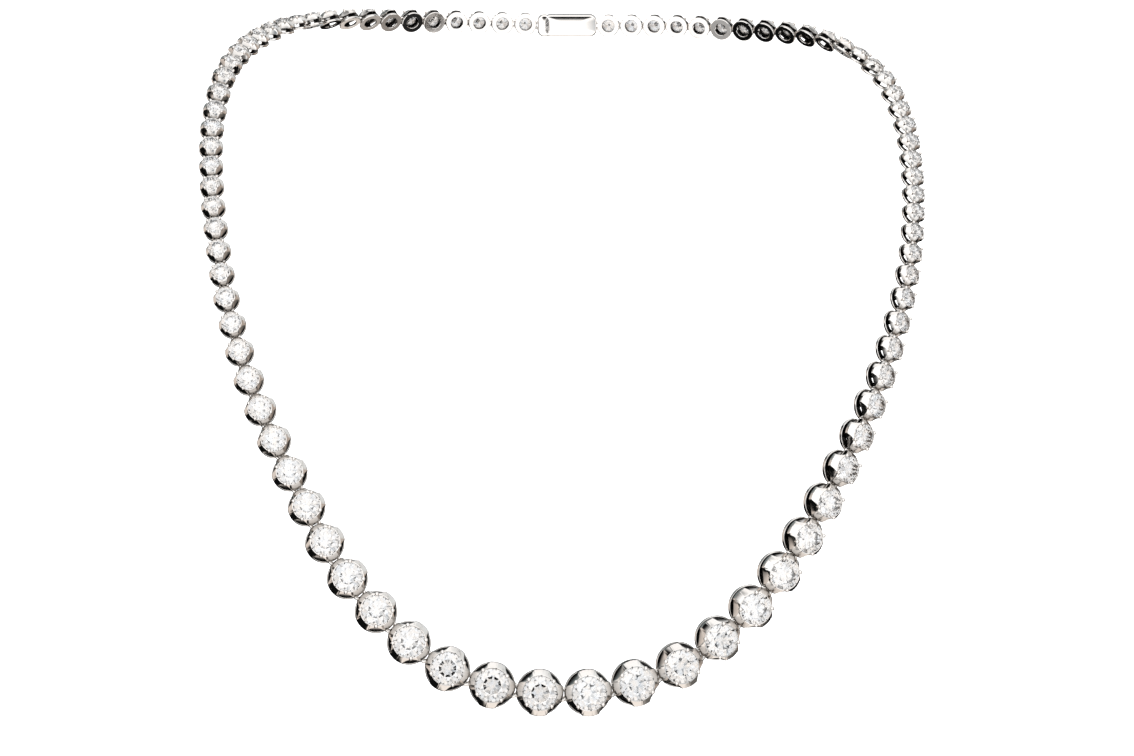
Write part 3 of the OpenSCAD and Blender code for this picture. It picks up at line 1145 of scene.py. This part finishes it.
@dataclass(frozen=True)
class Clasp:
    """Plain clasp: a chamfered body with soft edges, a fork with a post, and a soldered ring."""

    width: float = 4.0
    chamfer: float = 0.7
    edge: float = 0.32
    edge_steps: int = 5
    corner: float = 0.5
    corner_steps: int = 4
    post_lap: float = 0.2
    post_turns: int = 20
    setting: Setting = Setting()

    def slab(self, x_low: float, x_high: float, z_low: float, z_high: float) -> np.ndarray:
        """Rings of points of a slab with a chamfered outline and round edges.

        The outline is a rectangle with cut and rounded corners. It is carried from bottom to top
        along a quarter round, the upright side and another quarter round, drawn in by the edge's
        radius times one minus the sine.

        Args:
            x_low: Left end.
            x_high: Right end.
            z_low: Underside.
            z_high: Top.

        Returns:
            Points as (levels, outline points, 3).
        """
        y, c = self.width / 2, self.chamfer
        corners = np.array(
            [
                [x_low, c - y],
                [x_low + c, -y],
                [x_high - c, -y],
                [x_high, c - y],
                [x_high, y - c],
                [x_high - c, y],
                [x_low + c, y],
                [x_low, y - c],
            ]
        )
        outline = rounded(corners, np.full(8, self.corner), self.corner_steps)
        middle = np.array([(x_low + x_high) / 2, 0])
        half = np.array([(x_high - x_low) / 2, y])
        edge = min(self.edge, (z_high - z_low) * MOST_OF_SIDE)
        quarter = np.linspace(0, math.pi / 2, self.edge_steps)
        inset = edge * (1 - np.sin(quarter))
        rise = edge * (1 - np.cos(quarter))
        levels_z = np.concatenate([z_low + rise, z_high - rise[::-1]])
        levels_in = np.concatenate([inset, inset[::-1]])
        shrink = 1 - levels_in[:, None] / half[None, :]
        flat = middle + (outline[None] - middle) * shrink[:, None, :]
        height = np.broadcast_to(levels_z[:, None, None], (*flat.shape[:2], 1))
        return np.concatenate([flat, height], axis=-1)

    def shape(self, chain: Chain, detail: Detail) -> Shape:
        """Makes the clasp in the necklace's frame, with its own ring round the last post.

        Args:
            chain: Layout, which holds the clasp's length and thickness.
            detail: How finely the ring is drawn.

        Returns:
            The clasp.
        """
        setting = self.setting
        size = chain.back_dia / chain.front_dia
        x, t = chain.clasp_len / 2, chain.clasp_t / 2
        end_inset = setting.rim_r - setting.post_r
        post_x = x - end_inset * size
        fork = (end_inset + setting.post_dia / 2 + setting.wire_dia) * size
        fork += 2 * setting.link_gap
        gap_z = setting.window_z * size
        seat = chain.clasp_seat()
        made, body = Shape(), Shape()
        body.add_rod(self.slab(fork - x, x, -t, t))
        for z_low, z_high in ((-t, -gap_z), (gap_z, t)):
            body.add_rod(self.slab(-x, fork - x + 2 * self.chamfer, z_low, z_high))
        post_r = np.full(2, setting.post_dia / 2 * size)
        post_z = np.array([-1, 1]) * (t - self.post_lap)
        body.add_rod(upright_rod(-post_x, post_r, post_z, self.post_turns))
        made.add_shape(body, seat, 1.0)
        last = -chain.right_count
        from_place = seat.place + post_x * seat.x
        to_x = -setting.post_r * chain.size(last)
        ring = setting.link_ring(from_place, chain.seat(last), to_x, chain.size(last), detail)
        made.add_loop(ring)
        return made


# ---------------------------------------------------------------- the necklace


@dataclass
class Necklace:
    """The whole necklace: settings, stones and clasp, each dressed and standing for its node."""

    chain: Chain = field(default_factory=Chain)
    setting: Setting = Setting()
    clasp: Clasp = Clasp()
    single_count: int = 9
    golden_turn: float = 2.39996

    def __post_init__(self) -> None:
        """Makes the two finishes that every piece shares."""
        self.gold = PolishedWhiteGold().build()
        self.diamond = BrilliantDiamond().build()

    def label(self, i: int) -> str:
        """Name of a place in the chain, as the CAD nodes have it.

        Args:
            i: Number of the setting.

        Returns:
            Its name.
        """
        if i == 0:
            return "centre"
        return f"{'left' if i > 0 else 'right'}_{abs(i)}"

    def add_setting(self, shape: Shape, i: int, detail: Detail) -> None:
        """Adds setting i with its ring to a shape.

        Args:
            shape: Shape that gets it.
            i: Number of the setting.
            detail: How finely it is drawn.
        """
        chain, setting = self.chain, self.setting
        seat, size = chain.seat(i), chain.size(i)
        shape.add_shape(setting.shape(size, detail), seat, size)
        from_place = seat.place + setting.post_r * size * seat.x
        if i == chain.left_count:
            end_inset = setting.rim_r - setting.post_r
            size = chain.back_dia / chain.front_dia
            post_x = end_inset * size - chain.clasp_len / 2
            ring = setting.link_ring(from_place, chain.clasp_seat(), post_x, size, detail)
        else:
            size = chain.size(i + 1)
            post_x = -setting.post_r * size
            ring = setting.link_ring(from_place, chain.seat(i + 1), post_x, size, detail)
        shape.add_loop(ring)

    def add_stone(self, shape: Shape, i: int) -> None:
        """Adds stone i to a shape, its cut turned by its own angle."""
        stone = self.setting.stone.shape(i * self.golden_turn)
        shape.add_shape(stone, self.chain.seat(i), self.chain.size(i))

    def build_single(self, i: int) -> None:
        """Builds a setting and its stone as pieces of their own.

        Args:
            i: Number of the setting.
        """
        name = self.label(i)
        names = (f"gold_{name}", f"setting_{name}", f"brilliant_{name}", f"stone_{name}")
        self.build_pair([i], Detail.FINE, *names)

    def build_strand(self, side: str, places: range) -> None:
        """Builds the smaller settings and stones of one side as two pieces.

        Args:
            side: Name of the side.
            places: Numbers of its settings.
        """
        names = (f"gold_strand_{side}", f"{side}_settings", f"brilliants_{side}", f"{side}_stones")
        self.build_pair(places, Detail.PLAIN, *names)

    def build_pair(
        self,
        places: Iterable[int],
        detail: Detail,
        gold_name: str,
        gold_node: str,
        stone_name: str,
        stone_node: str,
    ) -> None:
        """Builds the settings of some places as one piece, and their stones as another.

        Args:
            places: Numbers of the settings.
            detail: How finely they are drawn.
            gold_name: Name of the metal piece.
            gold_node: CAD node that it stands for.
            stone_name: Name of the piece of stones.
            stone_node: CAD node that it stands for.
        """
        metal, stones = Shape(), Shape()
        for i in places:
            self.add_setting(metal, i, detail)
            self.add_stone(stones, i)
        Piece(gold_name, metal, self.gold, GOLD_SLOT, [gold_node]).build()
        facets = Shading.FACETS
        Piece(stone_name, stones, self.diamond, DIAMOND_SLOT, [stone_node], facets).build()

    def build(self) -> None:
        """Builds every piece in order, from the front to the nape."""
        count = self.single_count
        for i in range(-count, count + 1):
            self.build_single(i)
        self.build_strand("left", range(count + 1, self.chain.left_count + 1))
        self.build_strand("right", range(-self.chain.right_count, -count))
        metal = self.clasp.shape(self.chain, Detail.FINE)
        Piece("gold_clasp", metal, self.gold, GOLD_SLOT, ["clasp"]).build()


# ---------------------------------------------------------------- studio


@dataclass(frozen=True)
class Panel:
    """A card or lamp of the studio: a cone of directions with a soft edge.

    Its direction is given as the camera sees it: to the right, up, and towards the camera.
    """

    right: float
    up: float
    front: float
    inner: float
    outer: float
    colour: str
    strength: float = 1.0


@dataclass(frozen=True)
class Studio:
    """Camera at the photo's angle, a plain pale floor, and a soft tent with a few grey cards."""

    target: tuple[float, float, float] = (0, -94.5, -50)
    distance: float = 650.0
    rise: float = 10.0
    lens: float = 125.06
    sensor: float = 36.0
    floor_z: float = -420.0
    floor_half: float = 30000.0
    floor_colour: str = "#FFFFFF"
    floor_roughness: float = 0.9
    floor_glow: float = 0.8
    unlit: str = "#0A0A0B"
    stone_fill: float = 0.3
    stone_fill_strength: float = 1.15
    clip: tuple[float, float] = (0.05, 200.0)
    # The front of the tent, its top, the table and the two sides come first, then the grey and
    # black cards that the slopes and hollows mirror, a dark and a pale card straight behind, and
    # last a grey card beside the camera and its dark lens.
    panels: tuple[Panel, ...] = (
        Panel(0.0, 0.10, 1.0, 62, 80, "#FFFFFF", 1.3),
        Panel(0.05, 1.0, -0.35, 28, 46, "#FFFFFF", 1.1),
        Panel(0.0, -1.0, -0.35, 24, 38, "#F8F0E9", 1.05),
        Panel(-1.0, 0.15, -0.35, 24, 38, "#DAD0C8", 1.05),
        Panel(1.0, 0.0, -0.35, 26, 42, "#B8ABA1", 1.0),
        Panel(-0.7, 0.7, -0.7, 6, 32, "#7F8788", 1.0),
        Panel(0.7, 0.7, -0.6, 12, 38, "#E4E7E8", 1.0),
        Panel(-0.7, -0.7, -0.5, 20, 32, "#0E0F0F", 1.0),
        Panel(-0.82, -0.52, 0.12, 20, 30, "#0E0F0F", 1.0),
        Panel(-0.95, -0.16, 0.32, 13, 23, "#141515", 1.0),
        Panel(0.7, -0.7, -0.5, 8, 28, "#6A6864", 1.0),
        Panel(0.0, 0.0, -1.0, 16, 26, "#101111", 1.0),
        Panel(0.0, 0.0, -1.0, 6, 13, "#CDD0D2", 1.0),
        Panel(0.35, -0.15, 0.9, 4, 16, "#9AA2A8", 1.0),
        Panel(0.0, 0.0, 1.0, 5, 9, "#151516", 1.0),
    )

    def axes(self) -> tuple[Vector, Vector, Vector]:
        """Directions of the camera.

        Returns:
            Its right, up and back directions.
        """
        lift = math.radians(self.rise)
        back = Vector((0, -math.cos(lift), math.sin(lift)))
        right = Vector((1, 0, 0))
        return right, back.cross(right), back

    def build_camera(self) -> None:
        """Makes the camera and aims it at the middle of the picture."""
        back = self.axes()[2]
        data = bpy.data.cameras.new("photo_camera")
        data.sensor_width, data.lens = self.sensor, self.lens
        data.clip_start, data.clip_end = self.clip
        camera = bpy.data.objects.new("photo_camera", data)
        bpy.context.scene.collection.objects.link(camera)
        camera.location = (Vector(self.target) + back * self.distance) * MM
        camera.rotation_euler = (-back).to_track_quat("-Z", "Y").to_euler()
        bpy.context.scene.camera = camera

    def build_floor(self) -> None:
        """Makes the plain floor, which the camera sees and polished metal doesn't mirror."""
        half, z = self.floor_half * MM, self.floor_z * MM
        mesh = bpy.data.meshes.new("studio_floor")
        corners = [(-half, -half, z), (half, -half, z), (half, half, z), (-half, half, z)]
        mesh.from_pydata(corners, [], [(0, 1, 2, 3)])
        floor = bpy.data.objects.new("studio_floor", mesh)
        bpy.context.scene.collection.objects.link(floor)
        material = bpy.data.materials.new("white_paper_sweep")
        material.use_nodes = True
        shader = material.node_tree.nodes["Principled BSDF"]
        shader.inputs["Base Color"].default_value = linear(self.floor_colour)
        shader.inputs["Roughness"].default_value = self.floor_roughness
        shader.inputs["Emission Color"].default_value = linear(self.floor_colour)
        shader.inputs["Emission Strength"].default_value = self.floor_glow
        mesh.materials.append(material)
        floor.visible_glossy = False
        floor.visible_transmission = False

    def build_light(self) -> None:
        """Makes the tent: each panel is laid over those before it, by the angle to its middle.

        Light that has passed into a stone finds the tent paler, as light that bounces about in a
        real stone does, and the camera sees plain white behind the necklace.
        """
        world = bpy.data.worlds.new("soft_tent")
        world.use_nodes = True
        tree = world.node_tree
        tree.nodes.clear()
        way = add_node(tree, "ShaderNodeTexCoord").outputs["Generated"]
        right, up, back = self.axes()
        colour: object = linear(self.unlit)
        for panel in self.panels:
            middle = (right * panel.right + up * panel.up + back * panel.front).normalized()
            inputs = {0: way, 1: tuple(middle)}
            near = add_node(tree, "ShaderNodeVectorMath", inputs, operation="DOT_PRODUCT")
            limits = {
                "Value": near.outputs["Value"],
                "From Min": math.cos(math.radians(panel.outer)),
                "From Max": math.cos(math.radians(panel.inner)),
            }
            edge = add_node(tree, "ShaderNodeMapRange", limits, interpolation_type="SMOOTHSTEP")
            light = linear(panel.colour, panel.strength)
            tints = {Tint.FACTOR: edge.outputs["Result"], Tint.A: colour, Tint.B: light}
            colour = add_node(tree, "ShaderNodeMix", tints, data_type="RGBA").outputs[Tint.RESULT]
        path = add_node(tree, "ShaderNodeLightPath").outputs
        white = linear(self.floor_colour, self.stone_fill_strength)
        tints = {Tint.FACTOR: self.stone_fill, Tint.A: colour, Tint.B: white}
        filled = add_node(tree, "ShaderNodeMix", tints, data_type="RGBA").outputs[Tint.RESULT]
        tints = {Tint.FACTOR: path["Is Transmission Ray"], Tint.A: colour, Tint.B: filled}
        colour = add_node(tree, "ShaderNodeMix", tints, data_type="RGBA").outputs[Tint.RESULT]
        lit = add_node(tree, "ShaderNodeBackground", {"Color": colour, "Strength": 1.0})
        pale = {"Color": linear(self.floor_colour), "Strength": 1.0}
        seen = add_node(tree, "ShaderNodeBackground", pale)
        shaders = {0: path["Is Camera Ray"], 1: lit.outputs[0], 2: seen.outputs[0]}
        either = add_node(tree, "ShaderNodeMixShader", shaders)
        add_node(tree, "ShaderNodeOutputWorld", {"Surface": either.outputs[0]})
        bpy.context.scene.world = world

    def build(self) -> None:
        """Makes camera, floor and light, and shows colours as they are."""
        self.build_camera()
        self.build_floor()
        self.build_light()
        bpy.context.scene.view_settings.view_transform = "Standard"


def main() -> None:
    """Builds the necklace and its studio, and reports each piece."""
    logging.basicConfig(level=logging.INFO, format="%(name)s: %(message)s")
    Necklace().build()
    Studio().build()
    log.info("necklace and studio are in place")


if __name__ == "__main__":
    main()
